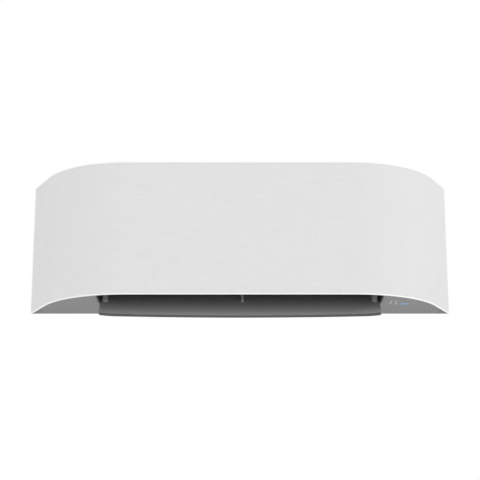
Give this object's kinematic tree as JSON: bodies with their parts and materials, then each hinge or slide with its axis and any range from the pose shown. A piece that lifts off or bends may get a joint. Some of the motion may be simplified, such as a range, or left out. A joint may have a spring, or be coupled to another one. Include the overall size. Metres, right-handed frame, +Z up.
{
  "type": "mini split indoor unit",
  "caption": "Wall-hung room air conditioner: cloth-covered wrap-round front panel that tips up, grey base, a wide air flap, steerable vanes, cross-flow fan and coil.",
  "frame": {"origin": "on the wall face of the wall plate, in the middle of its screw pattern, at half the height of the body", "axes": "+Z up, +X to the right as seen from the room, -Y into the room; the wall is the plane Y = 0"},
  "size_m": [0.986, 0.21, 0.3519],
  "materials": {
    "white_plastic": "fine satin",
    "woven_cover": "fine linen weave",
    "grey_plastic": "fine matt grain",
    "flap_plastic": "satin grey",
    "dark_plastic": "matt dark grey",
    "casing_plastic": "matt light grey",
    "galvanised_steel": "galvanised",
    "fin_aluminium": "coated fins",
    "copper": "drawn copper tube",
    "brass": "turned brass",
    "hose_plastic": "soft matt",
    "rubber": "matt",
    "fan_plastic": "matt black",
    "motor_case": "satin light grey",
    "board_green": "coated circuit board",
    "component_black": "moulded",
    "terminal_plastic": "moulded",
    "lens_white": "clear satin",
    "lens_blue": "lit blue",
    "filter_mesh": "fine mesh in a frame",
    "steel_screw": "zinc plated"
  },
  "bodies": {
    "unit": {"wall_plate": "galvanised_steel", "rear_casing": "casing_plastic", "front_frame": "casing_plastic", "filter_rails": "casing_plastic", "top_grille": "casing_plastic", "base_trim_left": "grey_plastic", "base_trim_right": "grey_plastic", "base_rear_cover": "grey_plastic", "outlet_duct": "dark_plastic", "drain_pan": "casing_plastic", "drain_hose": "hose_plastic", "drain_plug": "rubber", "coil_fins_front": "fin_aluminium", "coil_fins_upper": "fin_aluminium", "coil_fins_rear": "fin_aluminium", "coil_plates": "galvanised_steel", "coil_tubes": "copper", "gas_pipe": "copper", "liquid_pipe": "copper", "gas_union": "brass", "liquid_union": "brass", "pipe_clamp": "casing_plastic", "fan_motor": "motor_case", "motor_clamp": "galvanised_steel", "fan_bearing": "rubber", "control_box": "casing_plastic", "control_lid": "galvanised_steel", "control_board": "board_green", "board_components": "component_black", "terminal_block": "terminal_plastic", "display_board": "board_green", "indicator_lenses": "lens_white", "power_lens": "lens_blue", "thermistors": "component_black", "flap_motor": "motor_case", "vane_motors": "motor_case", "test_switch": "component_black", "screws": "steel_screw"},
    "panel": {"front_panel": "white_plastic", "panel_cover": "woven_cover"},
    "fan": {"fan_impeller": "fan_plastic", "fan_pin": "steel_screw", "motor_shaft": "steel_screw"},
    "flap": {"flap_outer": "flap_plastic", "flap_inner": "flap_plastic"},
    "filter_left": {"filter_left": "filter_mesh"},
    "filter_right": {"filter_right": "filter_mesh"},
    "test_button": {"test_button": "white_plastic"},
    "vane_left_1": {"vane_left_1": "dark_plastic"},
    "vane_left_2": {"vane_left_2": "dark_plastic"},
    "vane_left_3": {"vane_left_3": "dark_plastic"},
    "vane_left_4": {"vane_left_4": "dark_plastic"},
    "vane_left_5": {"vane_left_5": "dark_plastic"},
    "vane_link_left": {"vane_link_left": "dark_plastic"},
    "vane_right_1": {"vane_right_1": "dark_plastic"},
    "vane_right_2": {"vane_right_2": "dark_plastic"},
    "vane_right_3": {"vane_right_3": "dark_plastic"},
    "vane_right_4": {"vane_right_4": "dark_plastic"},
    "vane_right_5": {"vane_right_5": "dark_plastic"},
    "vane_link_right": {"vane_link_right": "dark_plastic"}
  },
  "joints": [
    {"name": "panel_hinge", "type": "hinge", "parent": "unit", "child": "panel", "pos_m": [0, -0.1919, 0.14745], "axis": [-1, 0, 0], "range_deg": [0, 60]},
    {"name": "flap_hinge", "type": "hinge", "parent": "unit", "child": "flap", "pos_m": [0, -0.122, -0.12595], "axis": [1, 0, 0], "range_deg": [-40, 32]},
    {"name": "fan_spin", "type": "hinge", "parent": "unit", "child": "fan", "pos_m": [0, -0.088, -0.04595], "axis": [1, 0, 0], "continuous": true},
    {"name": "filter_left_slide", "type": "slide", "parent": "unit", "child": "filter_left", "axis": [0, 0, 1], "range_m": [0, 0.19]},
    {"name": "filter_right_slide", "type": "slide", "parent": "unit", "child": "filter_right", "axis": [0, 0, 1], "range_m": [0, 0.19]},
    {"name": "button_press", "type": "slide", "parent": "unit", "child": "test_button", "axis": [0, 1, 0], "range_m": [0, 0.0015], "stiffness_N_per_m": 400, "springref_m": -0.001},
    {"name": "vane_left_1_turn", "type": "hinge", "parent": "unit", "child": "vane_left_1", "pos_m": [-0.04, -0.14577, -0.09606], "axis": [0, -0.6852, 0.7284], "range_deg": [-35, 35]},
    {"name": "vane_left_2_turn", "type": "hinge", "parent": "unit", "child": "vane_left_2", "pos_m": [-0.092, -0.14577, -0.09606], "axis": [0, -0.6852, 0.7284], "range_deg": [-35, 35]},
    {"name": "vane_left_3_turn", "type": "hinge", "parent": "unit", "child": "vane_left_3", "pos_m": [-0.144, -0.14577, -0.09606], "axis": [0, -0.6852, 0.7284], "range_deg": [-35, 35]},
    {"name": "vane_left_4_turn", "type": "hinge", "parent": "unit", "child": "vane_left_4", "pos_m": [-0.196, -0.14577, -0.09606], "axis": [0, -0.6852, 0.7284], "range_deg": [-35, 35]},
    {"name": "vane_left_5_turn", "type": "hinge", "parent": "unit", "child": "vane_left_5", "pos_m": [-0.248, -0.14577, -0.09606], "axis": [0, -0.6852, 0.7284], "range_deg": [-35, 35]},
    {"name": "vane_link_left_turn", "type": "hinge", "parent": "vane_left_1", "child": "vane_link_left", "pos_m": [-0.04, -0.13293, -0.12722], "axis": [0, -0.6852, 0.7284], "range_deg": [-35, 35]},
    {"name": "vane_right_1_turn", "type": "hinge", "parent": "unit", "child": "vane_right_1", "pos_m": [0.04, -0.14577, -0.09606], "axis": [0, -0.6852, 0.7284], "range_deg": [-35, 35]},
    {"name": "vane_right_2_turn", "type": "hinge", "parent": "unit", "child": "vane_right_2", "pos_m": [0.092, -0.14577, -0.09606], "axis": [0, -0.6852, 0.7284], "range_deg": [-35, 35]},
    {"name": "vane_right_3_turn", "type": "hinge", "parent": "unit", "child": "vane_right_3", "pos_m": [0.144, -0.14577, -0.09606], "axis": [0, -0.6852, 0.7284], "range_deg": [-35, 35]},
    {"name": "vane_right_4_turn", "type": "hinge", "parent": "unit", "child": "vane_right_4", "pos_m": [0.196, -0.14577, -0.09606], "axis": [0, -0.6852, 0.7284], "range_deg": [-35, 35]},
    {"name": "vane_right_5_turn", "type": "hinge", "parent": "unit", "child": "vane_right_5", "pos_m": [0.248, -0.14577, -0.09606], "axis": [0, -0.6852, 0.7284], "range_deg": [-35, 35]},
    {"name": "vane_link_right_turn", "type": "hinge", "parent": "vane_right_1", "child": "vane_link_right", "pos_m": [0.04, -0.13293, -0.12722], "axis": [0, -0.6852, 0.7284], "range_deg": [-35, 35]}
  ],
  "couplings": [
    {"joint": "vane_left_2_turn", "follows": "vane_left_1_turn", "ratio": 1},
    {"joint": "vane_left_3_turn", "follows": "vane_left_1_turn", "ratio": 1},
    {"joint": "vane_left_4_turn", "follows": "vane_left_1_turn", "ratio": 1},
    {"joint": "vane_left_5_turn", "follows": "vane_left_1_turn", "ratio": 1},
    {"joint": "vane_link_left_turn", "follows": "vane_left_1_turn", "ratio": -1},
    {"joint": "vane_right_2_turn", "follows": "vane_right_1_turn", "ratio": 1},
    {"joint": "vane_right_3_turn", "follows": "vane_right_1_turn", "ratio": 1},
    {"joint": "vane_right_4_turn", "follows": "vane_right_1_turn", "ratio": 1},
    {"joint": "vane_right_5_turn", "follows": "vane_right_1_turn", "ratio": 1},
    {"joint": "vane_link_right_turn", "follows": "vane_right_1_turn", "ratio": -1}
  ]
}
